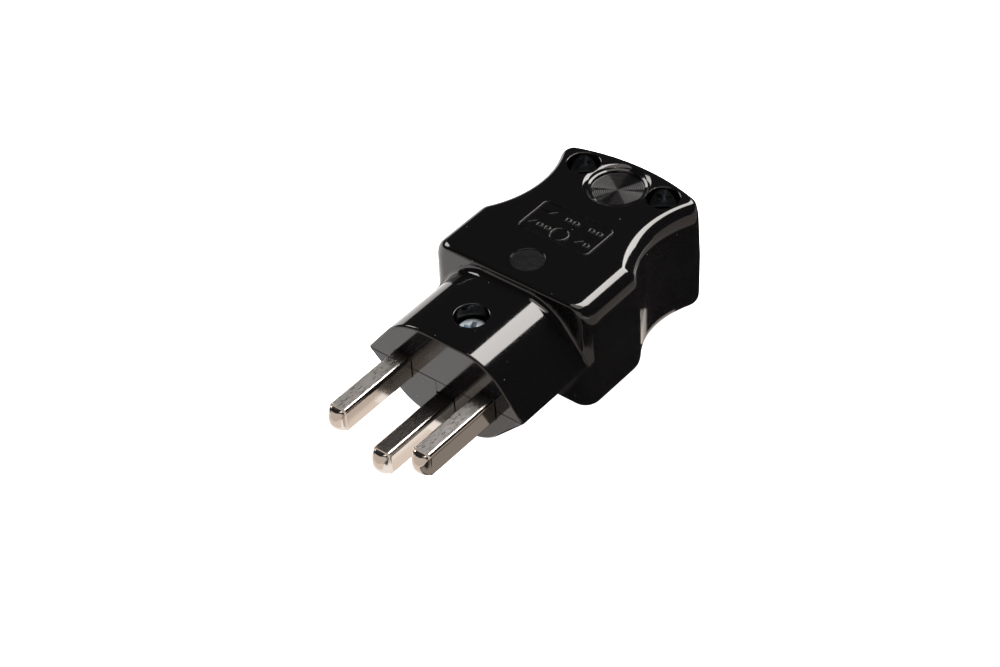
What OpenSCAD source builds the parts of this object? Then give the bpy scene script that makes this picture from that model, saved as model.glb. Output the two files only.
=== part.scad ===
// Type J plug, 16 A, rewirable: two half shells, three pins with screw terminals, and a cord clamp
// The nose face lies on X = 0, the pins point along +X, and the shells part on Z = 0

/* [Pins] */
// Distance between the line and neutral pins, centre to centre
pin_pitch = 19; // [19:0.1:23]
// Drop of the earth pin below the other two
earth_drop = 5; // [5:0.1:5.5]
// Length of a pin in front of the nose
pin_reach = 19; // [10:0.5:25]
// Width of a blade
pin_w = 4; // [3:0.1:5]
// Height of a blade
pin_h = 5; // [4:0.1:5]
// Rounding along a blade's edges
pin_edge = 0.6; // [0.3:0.05:0.9]
// Length of a blade's rounded tip
pin_tip = 1.8; // [1:0.1:1.9]

/* [Terminals] */
// Length of a terminal block
block_l = 12; // [10:0.5:12.5]
// Width of a terminal block
block_w = 7.5; // [7:0.1:7.9]
// Height of a terminal block
block_h = 6.5; // [5:0.1:7]
// Diameter of a terminal screw's thread
terminal_d = 3.5; // [3:0.5:4]
// Diameter of a terminal screw's head
terminal_head_d = 6; // [5:0.1:6.6]
// Height of its head
terminal_head_h = 2.2; // [1.8:0.1:2.4]
// Length of a terminal screw under its head
terminal_l = 6; // [5:0.5:7]
// Thickness of a wire plate
plate_t = 0.8; // [0.6:0.1:1]
// Length of the block in the nose that anchors the earth pin
anchor_l = 9; // [7.5:0.5:9.5]
// Width of that block
anchor_w = 8.6; // [7:0.1:9]

/* [Nose] */
// Length of the nose in front of the grip
nose_l = 18.4; // [18:0.1:24]
// Width of the nose, point to point
nose_w = 34.9; // [34.9:0.1:35.5]
// Height of the nose above the line and neutral pins
nose_top = 10.1; // [9.5:0.1:10.5]
// Depth of the nose below them
nose_bottom = 8.75; // [8.75:0.05:9.5]
// Slope of the nose's upper sides
nose_upper_slope = 52; // [48:1:56]
// Slope of its lower sides
nose_lower_slope = 45; // [42:1:48]
// Rounding between the top and the upper sides
nose_upper_round = 11; // [5:0.5:11]
// Rounding between the bottom and the lower sides
nose_lower_round = 10; // [5:0.5:10]
// Rounding of the nose face's edge
nose_edge = 0.5; // [0.2:0.1:0.8]
// Fillet where the nose meets the grip
nose_fillet = 1.1; // [0.4:0.1:1.2]

/* [Grip] */
// Length of the grip
grip_l = 39.6; // [39.6:0.1:52]
// Width of the grip
grip_w = 36.4; // [36.4:0.1:46]
// Thickness of the grip
grip_t = 24; // [24:0.1:30]
// Rounding of the front corners in plan
front_corner = 3.2; // [3:0.1:5]
// Rounding of the rear corners in plan
rear_corner = 2; // [1.9:0.1:3]
// Radius of the bowed rear face
rear_bow = 44; // [40:1:60]
// Radius of the finger scoops
scoop_r = 19; // [17:0.5:24]
// Depth of the finger scoops
scoop_depth = 4.2; // [3:0.1:4.5]
// Distance from the rear to the middle of the scoops
scoop_from_rear = 13; // [12.5:0.5:15]
// Rounding along the sides' outer edges
side_edge = 2.8; // [1.5:0.1:2.9]
// Rounding along the front and rear outer edges
end_edge = 0.8; // [0.4:0.1:1]
// Lean of the walls for release from the mould, over their height
draft = 0.2; // [0.1:0.05:0.4]

/* [Dish] */
// Distance from the rear to the centre of the dish
dish_from_rear = 7.4; // [7:0.1:8]
// Diameter of the dish's mouth
dish_d = 13.4; // [12:0.1:14]
// Diameter of the dish's floor
dish_floor_d = 10.6; // [9:0.1:11]
// Depth of the dish
dish_depth = 1.3; // [0.8:0.1:1.6]

/* [Walls] */
// Wall of the grip
wall = 2; // [1.6:0.1:2.6]
// Wall of the nose
nose_wall = 1.8; // [1.5:0.1:2.4]
// Thickness of the nose face
face_wall = 3; // [2.5:0.1:3.8]
// Thickness of the bulkhead between nose and grip
bulkhead_t = 2.6; // [2:0.1:3.2]
// Thickness of the partitions between the terminals
partition_t = 1.2; // [1:0.1:1.4]
// Thickness of the cross ribs that carry the blocks
rib_t = 2; // [1.5:0.1:2.6]

/* [Housing screws] */
// Diameter of the housing screws' thread
screw_d = 3; // [2.5:0.5:3.5]
// Diameter of their heads
head_d = 5.4; // [5:0.1:5.6]
// Height of their heads
head_h = 2; // [1.6:0.1:2.4]
// Diameter of the wells they sink into
well_d = 6.2; // [6:0.1:6.6]
// Height of the heads' seats above the parting plane
seat_z = 5.3; // [4.5:0.1:6]
// Distance from the nose face to the nose screw
nose_screw_from_face = 8.4; // [8:0.1:9.6]
// Distance from the rear to the rear screws
rear_screw_from_rear = 5.7; // [5.6:0.1:6.5]
// Distance between the rear screws
rear_screw_pitch = 18.1; // [18:0.1:19]
// Width of a nut across its flats
nut_af = 5.5; // [5:0.1:5.6]
// Height of a nut
nut_h = 2.4; // [2:0.1:2.6]
// Depth of a nut's outer face inside the lower shell
nut_sunk = 2.4; // [1.5:0.1:2.6]
// Length of thread that shows past a nut
nut_over = 1; // [0.5:0.1:1.4]

/* [Cord clamp] */
// Diameter of the cord inlet
inlet_d = 10; // [8:0.1:10.4]
// Length of the cord inlet
inlet_l = 5; // [4:0.5:6]
// Diameter of the cord that the clamp holds
cord_d = 8.4; // [7:0.1:9]
// Distance from the rear to the clamp
clamp_from_rear = 15.2; // [15:0.1:16]
// Length of the clamp along the cord
clamp_l = 5.4; // [5:0.1:6]
// Thickness of the clamp's arch and ears
clamp_t = 2.2; // [1.8:0.1:2.6]
// Distance between the clamp's screws
clamp_pitch = 17; // [16.6:0.1:17.4]
// Height of the clamp's seat above the parting plane
clamp_seat_z = 1; // [0.5:0.1:1.5]
// Length of the clamp's screws under the head
clamp_screw_l = 9; // [8:0.5:10]
// Diameter of a threaded bush
insert_d = 4.4; // [4.2:0.1:4.6]
// Length of a threaded bush
insert_l = 6; // [4:0.5:6.5]

/* [Fits] */
// Clearance round a blade in its slot
pin_gap = 0.1; // [0.05:0.05:0.2]
// Clearance round a terminal block in its seat
block_gap = 0.2; // [0.1:0.05:0.3]
// Clearance between a wire plate and the ribs
plate_gap = 0.3; // [0.2:0.05:0.4]
// Clearance of a screw in its hole
screw_gap = 0.2; // [0.1:0.05:0.3]
// Clearance of a thread in its mate
thread_gap = 0.05; // [0.02:0.01:0.1]
// Clearance round a nut in its pocket
nut_gap = 0.1; // [0.05:0.05:0.2]

/* [Hidden] */
$fn = 48;

shell_black = [0.07, 0.07, 0.08];
plated = [0.72, 0.69, 0.65];
brass = [0.75, 0.62, 0.33];
zinc = [0.70, 0.74, 0.80];

half_w = grip_w / 2;
half_t = grip_t / 2;
line_y = pin_pitch / 2;
rear_x = -nose_l - grip_l;
over = 1;
lap = 0.002;

// The terminal blocks stand behind the bulkhead, with their wire plates between two cross ribs
cavity_x = -nose_l - wall;
rib_set = 0.5;
block_front = cavity_x - block_gap;
block_back = block_front - block_l;
block_top = block_h - pin_h / 2;
plate_l = terminal_head_d + 2 * (plate_t + screw_gap);
plate_w = block_w - rib_set;
block_mid = block_front - rib_set - rib_t - plate_gap - plate_l / 2;
anchor_front = -face_wall - pin_gap;
nose_screw_x = -nose_screw_from_face;
rear_screw_x = rear_x + rear_screw_from_rear;
rear_screw_y = rear_screw_pitch / 2;
clamp_x = rear_x + clamp_from_rear;
clamp_y = clamp_pitch / 2;
dish_x = rear_x + dish_from_rear;
boss_wall = 1.2;
boss_r = well_d / 2 + boss_wall;
earth_top = -earth_drop + pin_h / 2;
nut_seat = -half_t + nut_sunk + nut_h;
screw_short = 0.8;
nose_screw_l = seat_z + earth_drop + pin_h / 2 - screw_short;
rear_screw_l = seat_z - nut_seat + nut_h + nut_over;

// Points along an arc, from angle a to angle b in n steps
function arc(centre, r, a, b, n) =
    [for (i = [0:n]) let (t = a + (b - a) * i / n) centre + r * [cos(t), sin(t)]];

// A list without its last entry
function but_last(list) = [for (i = [0:len(list) - 2]) list[i]];

// Where two circles cross, on the left of the way from the first to the second
function crossing(c1, r1, c2, r2) =
    let (d = norm(c2 - c1), u = (c2 - c1) / d, a = (r1 * r1 - r2 * r2 + d * d) / (2 * d))
    c1 + a * u - sqrt(r1 * r1 - a * a) * [-u[1], u[0]];

// The step that moves each corner of an outline outwards by one millimetre along both its sides
function edge_normal(p, q) = let (d = (q - p) / norm(q - p)) [d[1], -d[0]];
function mitres(outline) =
    let (n = len(outline))
    [for (i = [0:n - 1])
        let (a = edge_normal(outline[(i + n - 1) % n], outline[i]),
             b = edge_normal(outline[i], outline[(i + 1) % n]))
        (a + b) / (1 + a * b)];

function smooth(t) = let (s = min(max(t, 0), 1)) s * s * (3 - 2 * s);

// Plan of the grip: one half from the front corner round the scoop to the middle of the rear
scoop_c = [rear_x + scoop_from_rear, half_w - scoop_depth + scoop_r];
bow_c = [rear_x + rear_bow, 0];
corner_c = crossing(scoop_c, scoop_r + rear_corner, bow_c, rear_bow - rear_corner);
scoop_start = acos((scoop_r - scoop_depth) / scoop_r) - 90;
scoop_end = atan2(corner_c[1] - scoop_c[1], corner_c[0] - scoop_c[0]);
corner_start = scoop_end + 180;
corner_end = atan2(corner_c[1], corner_c[0] - bow_c[0]);
front_c = [-nose_l - front_corner, half_w - front_corner];
half_plan = concat(
    arc(front_c, front_corner, 0, 90, 6),
    but_last(arc(scoop_c, scoop_r, scoop_start, scoop_end, 12)),
    but_last(arc(corner_c, rear_corner, corner_start, corner_end, 6)),
    arc(bow_c, rear_bow, corner_end, 180, 5));
plan = concat(half_plan, [for (i = [len(half_plan) - 2:-1:0]) [half_plan[i][0], -half_plan[i][1]]]);

// The outer edge is rounder along the sides than at the ends, and eases off at the rear corners
function edge_at(p, mitre) =
    let (side = smooth((abs(mitre[1]) / norm(mitre) - 0.2) / 0.5),
         ease = 0.4 + 0.6 * smooth((p[0] - rear_x - 2) / 10))
    end_edge + (side_edge - end_edge) * side * ease;

// Section of the nose: right point, over the top to the left point, and back along the bottom
function rounded_slope(reach, height, slope, r, n) =
    let (y = reach - height / tan(slope) - r * tan(slope / 2))
    concat([[reach, 0]], arc([y, height - r], r, 90 - slope, 90, n));
upper_half = rounded_slope(nose_w / 2, nose_top, nose_upper_slope, nose_upper_round, 7);
lower_half = rounded_slope(nose_w / 2, nose_bottom, nose_lower_slope, nose_lower_round, 6);
nose_section = concat(
    upper_half,
    [for (i = [len(upper_half) - 1:-1:0]) [-upper_half[i][0], upper_half[i][1]]],
    [for (i = [1:len(lower_half) - 1]) [-lower_half[i][0], -lower_half[i][1]]],
    [for (i = [len(lower_half) - 1:-1:1]) [lower_half[i][0], -lower_half[i][1]]]);

// A solid through rings of equally many points, the first ring lowest
module loft(rings) {
    n = len(rings[0]);
    last = (len(rings) - 1) * n;
    sides = [for (k = [0:len(rings) - 2], i = [0:n - 1])
        let (a = k * n + i, b = k * n + (i + 1) % n) each [[a, a + n, b + n], [a, b + n, b]]];
    bottom = [for (i = [0:n - 1]) i];
    top = [for (i = [n - 1:-1:0]) last + i];
    polyhedron([for (ring = rings) each ring], concat([bottom], sides, [top]));
}

// The whole grip, widest on the parting plane and rounded above and below, a hair too thick
module grip_body() {
    steps = 5;
    m = mitres(plan);
    r = [for (i = [0:len(plan) - 1]) edge_at(plan[i], m[i])];
    function ring(a, side) =
        [for (i = [0:len(plan) - 1])
            let (p = plan[i] - (draft + r[i] * (1 - cos(a))) * m[i])
            [p[0], p[1], side * (half_t + lap - r[i] * (1 - sin(a)))]];
    below = [for (k = [steps:-1:0]) ring(90 * k / steps, -1)];
    above = [for (k = [0:steps]) ring(90 * k / steps, 1)];
    loft(concat(below, [[for (p = plan) [p[0], p[1], 0]]], above));
}

// The whole nose, from inside the grip's front wall to the rounded edge of its face, a hair too long
module nose_body() {
    m = mitres(nose_section);
    count = len(nose_section);
    least = 0.15;
    fade = 5;
    fillet = [for (p = nose_section)
        least + (nose_fillet - least) * smooth((nose_w / 2 - abs(p[0])) / fade)];
    function ring(out, x) =
        [for (i = [0:count - 1])
            let (p = nose_section[i] + out[i] * m[i]) [x[i], p[0], p[1]]];
    root = ring(fillet, [for (v = fillet) -nose_l - over]);
    flare = [for (a = [0:30:90])
        ring([for (v = fillet) v * (1 - sin(a))], [for (v = fillet) -nose_l + v * (1 - cos(a))])];
    edge = [for (a = [0:30:90])
        ring([for (v = fillet) -nose_edge * (1 - cos(a))], [for (v = fillet) nose_edge * (sin(a) - 1) + lap])];
    loft(concat([root], flare, edge));
}

// Everything above the parting plane, or below it for side = -1
module half_space(side) {
    size = 4 * grip_l;
    translate([-size, -size / 2, side > 0 ? 0 : -size]) cube([2 * size, size, size]);
}

module rounded_rect(w, h, r) {
    square([w - 2 * r, h], center = true);
    square([w, h - 2 * r], center = true);
    for (x = [-1, 1], y = [-1, 1]) translate([x * (w / 2 - r), y * (h / 2 - r)]) circle(r);
}

// Extrudes a section drawn in Y and Z along X, from x1 to x2
module along_x(x1, x2) {
    translate([x1, 0, 0]) rotate([90, 0, 90]) linear_extrude(x2 - x1) children();
}

// Outer form of one half shell, with its flat faces cut plane
module shell_body(side) {
    intersection() {
        union() {
            grip_body();
            nose_body();
        }
        translate([rear_x - over, -grip_w, side > 0 ? 0 : -half_t]) cube([over - rear_x, 2 * grip_w, half_t]);
    }
}

// Hollow of one half shell: the grip's behind its front wall, and the nose's up to the bulkhead
module shell_cavity(side) {
    depth = half_t - wall;
    translate([0, 0, side > 0 ? -over : -depth])
        linear_extrude(depth + over) offset(delta = -wall) polygon(plan);
    intersection() {
        along_x(-nose_l - wall + bulkhead_t, -face_wall) offset(delta = -nose_wall) polygon(nose_section);
        translate([0, 0, side > 0 ? -over : over]) half_space(side);
    }
}

// Inside of the grip, to which ribs and bosses are cut
module grip_inside(side) {
    sunk = 0.5;
    depth = half_t - wall + sunk;
    translate([0, 0, side > 0 ? -over : -depth])
        linear_extrude(depth + over) offset(delta = sunk - wall) polygon(plan);
}

// A pin in its own frame, blade along X, grown by a gap on every side for its seat
module blade(x1, gap) {
    x2 = pin_reach;
    along_x(x1, gap > 0 ? over : x2)
        rounded_rect(pin_w + 2 * gap, pin_h + 2 * gap, pin_edge);
}

// Outline of a tip: straight up to the rounding, then an arc over half the blade's width or height
module tip_outline(half, x1) {
    r = (half * half + pin_tip * pin_tip) / (2 * pin_tip);
    x2 = pin_reach - pin_tip;
    translate([x1, -half - over]) square([x2 - x1, 2 * half + 2 * over]);
    intersection() {
        translate([pin_reach - r, 0]) circle(r);
        translate([x2 - lap, -half]) square([pin_tip + over, 2 * half]);
    }
}

module tipped_blade(x1) {
    intersection() {
        blade(x1, 0);
        translate([0, 0, -pin_h]) linear_extrude(2 * pin_h) tip_outline(pin_w / 2, x1 - over);
        translate([0, pin_w, 0]) rotate([90, 0, 0]) linear_extrude(2 * pin_w) tip_outline(pin_h / 2, x1 - over);
    }
}

module block(gap) {
    z1 = -pin_h / 2 - gap;
    translate([block_back - gap, -block_w / 2 - gap, z1])
        cube([block_l + 2 * gap, block_w + 2 * gap, block_h + 2 * gap]);
}

module anchor(gap) {
    translate([anchor_front - anchor_l - gap, -anchor_w / 2 - gap, -pin_h / 2 - gap])
        cube([anchor_l + 2 * gap, anchor_w + 2 * gap, pin_h + 2 * gap]);
}

// A pin with its terminal block: threaded hole, and a groove for a wire on each side of it
module pin() {
    groove_r = 0.9;
    groove_y = terminal_d / 2 + groove_r;
    difference() {
        union() {
            tipped_blade(block_front - over);
            block(0);
        }
        translate([block_mid, 0, -pin_h]) cylinder(r = terminal_d / 2 + thread_gap, h = 4 * pin_h);
        for (y = [-groove_y, groove_y])
            translate([block_back - over, y, block_top + groove_r / 2])
                rotate([0, 90, 0]) cylinder(r = groove_r, h = block_mid + plate_l / 2 - block_back + over);
    }
}

module pin_seat() {
    blade(block_front - over, pin_gap);
    block(block_gap);
}

module at_line() { translate([0, -line_y, 0]) children(); }
module at_neutral() { translate([0, line_y, 0]) children(); }
module at_earth() { translate([0, 0, -earth_drop]) children(); }

module line_pin() { color(plated) at_line() pin(); }
module neutral_pin() { color(plated) at_neutral() pin(); }

module earth_pin() {
    color(plated) difference() {
        at_earth() union() {
            pin();
            anchor(0);
        }
        translate([nose_screw_x, 0, -grip_t]) cylinder(r = screw_d / 2 + thread_gap, h = grip_t);
    }
}

// Slots and seats of all three pins, and the way in from above for the earth pin
module pin_seats() {
    at_line() pin_seat();
    at_neutral() pin_seat();
    at_earth() {
        pin_seat();
        anchor(pin_gap);
    }
}

// Room above the earth pin's blade, anchor and block, from its level up to the parting plane
module earth_way() {
    blade_way = [block_front - over, over, pin_w, pin_gap];
    anchor_way = [anchor_front - anchor_l, anchor_front, anchor_w, pin_gap];
    block_way = [block_back, block_front, block_w, block_gap];
    for (way = [blade_way, anchor_way, block_way])
        translate([way[0] - way[3], -way[2] / 2 - way[3], -earth_drop])
            cube([way[1] - way[0] + 2 * way[3], way[2] + 2 * way[3], earth_drop + over]);
}

// Screw with a cheese head and a cross recess, its head's underside on z = 0
module screw(d, length, head, height) {
    round = 0.4;
    recess_w = head * 0.17;
    recess_l = head * 0.6;
    recess_depth = height * 0.65;
    turn = 20;
    difference() {
        union() {
            rotate_extrude() {
                square([head / 2 - round, height]);
                square([head / 2, height - round]);
                translate([head / 2 - round, height - round]) circle(round, $fn = 24);
            }
            translate([0, 0, -length + d / 4]) cylinder(r = d / 2, h = length - d / 4);
            translate([0, 0, -length]) cylinder(r1 = d / 4, r2 = d / 2, h = d / 4);
        }
        for (a = [0, 90])
            rotate([0, 0, a + turn]) translate([-recess_l / 2, -recess_w / 2, height - recess_depth])
                cube([recess_l, recess_w, height]);
    }
}

// Terminals
module terminal_screw() {
    translate([block_mid, 0, block_top + plate_t]) screw(terminal_d, terminal_l, terminal_head_d, terminal_head_h);
}

// A plate between the screw's head and the wires, its ends turned up beside the head
module wire_plate() {
    lip = 0.9;
    translate([block_mid, 0, block_top]) difference() {
        union() {
            translate([-plate_l / 2, -plate_w / 2, 0]) cube([plate_l, plate_w, plate_t]);
            for (x = [-plate_l / 2, plate_l / 2 - plate_t])
                translate([x, -plate_w / 2, 0]) cube([plate_t, plate_w, plate_t + lip]);
        }
        translate([0, 0, -over]) cylinder(r = terminal_d / 2 + screw_gap, h = plate_t + 2 * over);
    }
}

module line_terminal_screw() { color(zinc) at_line() terminal_screw(); }
module neutral_terminal_screw() { color(zinc) at_neutral() terminal_screw(); }
module earth_terminal_screw() { color(zinc) at_earth() terminal_screw(); }
module line_wire_plate() { color(brass) at_line() wire_plate(); }
module neutral_wire_plate() { color(brass) at_neutral() wire_plate(); }
module earth_wire_plate() { color(brass) at_earth() wire_plate(); }

// Housing screws and nuts
module nose_screw() {
    color(zinc) translate([nose_screw_x, 0, seat_z]) screw(screw_d, nose_screw_l, head_d, head_h);
}

module rear_screw(side) {
    color(zinc) translate([rear_screw_x, side * rear_screw_y, seat_z])
        screw(screw_d, rear_screw_l, head_d, head_h);
}

module rear_nut(side) {
    color(zinc) translate([rear_screw_x, side * rear_screw_y, nut_seat - nut_h]) difference() {
        cylinder(d = nut_af / cos(30), h = nut_h, $fn = 6);
        translate([0, 0, -over]) cylinder(r = screw_d / 2 + thread_gap, h = nut_h + 2 * over);
    }
}

// Cord clamp: an arch over the cord with an ear on each side, and two teeth across its underside
module cord_clamp() {
    arch_r = cord_d / 2;
    ear_r = clamp_l / 2;
    tooth = 0.6;
    tooth_w = 0.8;
    ear_y = arch_r + 0.2;
    color(shell_black) difference() {
        union() {
            intersection() {
                along_x(clamp_x - clamp_l / 2, clamp_x + clamp_l / 2) difference() {
                    circle(arch_r + clamp_t);
                    circle(arch_r);
                }
                translate([0, 0, clamp_seat_z]) half_space(1);
            }
            for (x = [clamp_x - clamp_l / 4, clamp_x + clamp_l / 4])
                intersection() {
                    along_x(x - tooth_w / 2, x + tooth_w / 2) difference() {
                        circle(arch_r + clamp_t / 2);
                        circle(arch_r - tooth);
                    }
                    translate([0, 0, clamp_seat_z]) half_space(1);
                }
            for (side = [-1, 1]) {
                translate([clamp_x, side * clamp_y, clamp_seat_z]) cylinder(r = ear_r, h = clamp_t);
                translate([clamp_x - ear_r, side > 0 ? ear_y : -clamp_y, clamp_seat_z])
                    cube([2 * ear_r, clamp_y - ear_y, clamp_t]);
            }
        }
        for (side = [-1, 1])
            translate([clamp_x, side * clamp_y, 0]) cylinder(r = screw_d / 2 + screw_gap, h = half_t);
    }
}

module cord_clamp_screw(side) {
    color(zinc) translate([clamp_x, side * clamp_y, clamp_seat_z + clamp_t])
        screw(screw_d, clamp_screw_l, head_d, head_h);
}

// A bush with a pilot at its lower end and a waist between two grip bands
module clamp_insert(side) {
    neck_d = insert_d - 0.6;
    pilot = insert_l / 8;
    band = insert_l * 3 / 8;
    color(brass) translate([clamp_x, side * clamp_y, clamp_seat_z - insert_l]) difference() {
        union() {
            cylinder(d = neck_d, h = insert_l);
            translate([0, 0, pilot]) cylinder(d = insert_d, h = band);
            translate([0, 0, insert_l - band]) cylinder(d = insert_d, h = band);
        }
        translate([0, 0, -over]) cylinder(r = screw_d / 2 + thread_gap, h = insert_l + 2 * over);
    }
}

// The cord inlet, half in each shell, with a flare at its mouth
module inlet() {
    flare = 0.8;
    translate([rear_x, 0, 0]) rotate([0, 90, 0]) {
        translate([0, 0, -over]) cylinder(d = inlet_d, h = inlet_l + wall + 2 * over);
        translate([0, 0, -over]) cylinder(d1 = inlet_d + 2 * (flare + over), d2 = inlet_d, h = flare + over);
    }
}

module inlet_collar() {
    collar_wall = 1.5;
    along_x(rear_x + wall / 2, rear_x + inlet_l) circle(inlet_d / 2 + collar_wall);
}

module lower_shell() {
    saddle_w = 1.2;
    saddle_h = half_t - 1;
    press = 0.01;
    color(shell_black) difference() {
        union() {
            difference() {
                shell_body(-1);
                shell_cavity(-1);
            }
            intersection() {
                grip_inside(-1);
                union() {
                    for (x = [block_front - rib_set - rib_t, block_back + rib_set])
                        translate([x, -half_w, -half_t]) cube([rib_t, grip_w, half_t]);
                    for (y = [-line_y / 2, line_y / 2])
                        translate([block_back - over, y - partition_t / 2, -half_t])
                            cube([cavity_x - block_back + 2 * over, partition_t, half_t]);
                    for (side = [-1, 1]) {
                        translate([rear_screw_x, side * rear_screw_y, -half_t]) cylinder(r = boss_r, h = half_t);
                        translate([clamp_x, side * clamp_y, -half_t])
                            cylinder(d = clamp_l, h = half_t + clamp_seat_z);
                    }
                    for (k = [-0.5, 0, 0.5])
                        translate([clamp_x + k * (clamp_l - saddle_w) - saddle_w / 2, -clamp_y, -half_t])
                            cube([saddle_w, clamp_pitch, saddle_h]);
                    intersection() {
                        inlet_collar();
                        half_space(-1);
                    }
                }
            }
        }
        inlet();
        translate([clamp_x - clamp_l, 0, 0]) rotate([0, 90, 0]) cylinder(d = cord_d, h = 2 * clamp_l);
        pin_seats();
        earth_way();
        for (side = [-1, 1]) {
            translate([rear_screw_x, side * rear_screw_y, 0]) {
                translate([0, 0, -half_t - over]) cylinder(r = screw_d / 2 + screw_gap, h = half_t + 2 * over);
                translate([0, 0, -half_t - over])
                    cylinder(d = (nut_af + 2 * nut_gap) / cos(30), h = nut_seat + half_t + over, $fn = 6);
            }
            translate([clamp_x, side * clamp_y, clamp_seat_z - insert_l - over])
                cylinder(r = insert_d / 2 + press, h = insert_l + 2 * over);
            translate([clamp_x, side * clamp_y, -half_t + wall])
                cylinder(r = screw_d / 2 + screw_gap, h = half_t);
        }
    }
}

module dish() {
    r1 = dish_d / 2;
    r2 = dish_floor_d / 2;
    ledge = r2 + (r1 - r2) / 4;
    lean = 0.1;
    rotate_extrude() polygon([[0, -dish_depth], [r2, -dish_depth], [r2 + lean, -dish_depth / 2],
        [ledge, -dish_depth / 2], [r1, 0], [r1 + over, over], [0, over]]);
}

module well(x, y, surface) {
    translate([x, y, seat_z]) cylinder(d = well_d, h = surface - seat_z + over);
    translate([x, y, -earth_drop]) cylinder(r = screw_d / 2 + screw_gap, h = seat_z + earth_drop + over);
}

module upper_shell() {
    boss_top = nose_top - boss_wall;
    color(shell_black) difference() {
        union() {
            difference() {
                shell_body(1);
                shell_cavity(1);
            }
            intersection() {
                grip_inside(1);
                union() {
                    translate([block_front - rib_set - rib_t, -half_w, over]) cube([rib_t, grip_w, half_t]);
                    translate([block_mid - plate_l / 2 - plate_gap - rib_t, -half_w, block_top + block_gap])
                        cube([rib_t, grip_w, half_t]);
                    for (side = [-1, 1])
                        translate([rear_screw_x, side * rear_screw_y, 0]) cylinder(r = boss_r, h = half_t);
                    translate([dish_x, 0, half_t - wall - dish_depth]) cylinder(d = dish_d + 2, h = wall);
                    intersection() {
                        inlet_collar();
                        half_space(1);
                    }
                }
            }
            translate([nose_screw_x, 0, earth_top]) cylinder(r = boss_r, h = boss_top - earth_top);
            for (x = [[-face_wall, -nose_edge], [cavity_x, cavity_x + bulkhead_t]])
                translate([x[0], -pin_w / 2, earth_top]) cube([x[1] - x[0], pin_w, over - earth_top]);
        }
        inlet();
        pin_seats();
        translate([dish_x, 0, half_t]) dish();
        well(nose_screw_x, 0, nose_top);
        well(rear_screw_x, -rear_screw_y, half_t);
        well(rear_screw_x, rear_screw_y, half_t);
    }
}

lower_shell();
upper_shell();
line_pin();
neutral_pin();
earth_pin();
line_terminal_screw();
neutral_terminal_screw();
earth_terminal_screw();
line_wire_plate();
neutral_wire_plate();
earth_wire_plate();
cord_clamp();
cord_clamp_screw(-1);  // cord_clamp_screw_left
cord_clamp_screw(1);  // cord_clamp_screw_right
clamp_insert(-1);  // clamp_insert_left
clamp_insert(1);  // clamp_insert_right
nose_screw();
rear_screw(-1);  // rear_screw_left
rear_screw(1);  // rear_screw_right
rear_nut(-1);  // rear_nut_left
rear_nut(1);  // rear_nut_right
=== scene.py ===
import math

import bmesh
import bpy
from mathutils import Matrix, Vector


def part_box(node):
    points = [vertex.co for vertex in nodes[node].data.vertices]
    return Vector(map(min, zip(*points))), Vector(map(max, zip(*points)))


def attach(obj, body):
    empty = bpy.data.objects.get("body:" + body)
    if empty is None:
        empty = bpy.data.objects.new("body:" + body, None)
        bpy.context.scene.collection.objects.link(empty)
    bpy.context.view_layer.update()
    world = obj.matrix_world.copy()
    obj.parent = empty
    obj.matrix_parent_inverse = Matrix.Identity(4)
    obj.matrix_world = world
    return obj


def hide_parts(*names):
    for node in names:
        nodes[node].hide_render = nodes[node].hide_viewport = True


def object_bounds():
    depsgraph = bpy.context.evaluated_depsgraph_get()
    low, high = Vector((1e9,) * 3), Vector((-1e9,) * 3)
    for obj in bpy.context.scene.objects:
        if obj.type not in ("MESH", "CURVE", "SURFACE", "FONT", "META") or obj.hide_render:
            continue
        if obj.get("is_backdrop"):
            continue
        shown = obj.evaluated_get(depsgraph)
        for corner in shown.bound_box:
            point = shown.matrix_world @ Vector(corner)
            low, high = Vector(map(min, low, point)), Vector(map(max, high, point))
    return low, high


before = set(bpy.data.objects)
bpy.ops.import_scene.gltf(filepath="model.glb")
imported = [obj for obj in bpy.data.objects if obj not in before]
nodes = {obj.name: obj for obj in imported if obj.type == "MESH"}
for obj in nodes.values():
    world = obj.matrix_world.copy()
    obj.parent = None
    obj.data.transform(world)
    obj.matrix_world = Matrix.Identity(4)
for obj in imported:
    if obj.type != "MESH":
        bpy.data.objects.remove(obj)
cadLow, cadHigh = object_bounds()
mm = 0.001  # shapes are worked out in millimetres and scaled once they are done

# Sizes that every piece shares, in mm; the shell's own box gives the outside ones
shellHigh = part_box("upper_shell")[1] / mm
plug = {
    "halfWidth": round(shellHigh.y, 3),
    "halfThickness": round(shellHigh.z, 3),
    "noseLength": 18.4,
    "gripLength": 39.6,
    "pinPitch": 19.0,
    "earthDrop": 5.0,
}
rearX = -plug["noseLength"] - plug["gripLength"]


def arcPoints(centre, radius, start, end, steps):
    points = []
    for i in range(steps + 1):
        angle = math.radians(start + (end - start) * i / steps)
        points.append(Vector((centre[0] + radius * math.cos(angle), centre[1] + radius * math.sin(angle))))
    return points


def smoothStep(t):
    t = min(max(t, 0), 1)
    return t * t * (3 - 2 * t)


def mitres(outline):  # the step that moves each corner of a counter-clockwise outline 1 mm outwards
    steps = []
    for i, point in enumerate(outline):
        before = (point - outline[i - 1]).normalized()
        after = (outline[(i + 1) % len(outline)] - point).normalized()
        a = Vector((before.y, -before.x))
        b = Vector((after.y, -after.x))
        steps.append((a + b) / (1 + a.dot(b)))
    return steps


def newObject(name, mesh):
    item = bpy.data.objects.new(name, mesh)
    bpy.context.scene.collection.objects.link(item)
    return item


def meshFrom(name, points, faces):
    mesh = bpy.data.meshes.new(name)
    mesh.from_pydata([tuple(p) for p in points], [], faces)
    build = bmesh.new()
    build.from_mesh(mesh)
    bmesh.ops.remove_doubles(build, verts=build.verts, dist=1e-5)
    bmesh.ops.recalc_face_normals(build, faces=build.faces)
    build.to_mesh(mesh)
    build.free()
    return newObject(name, mesh)


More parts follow.
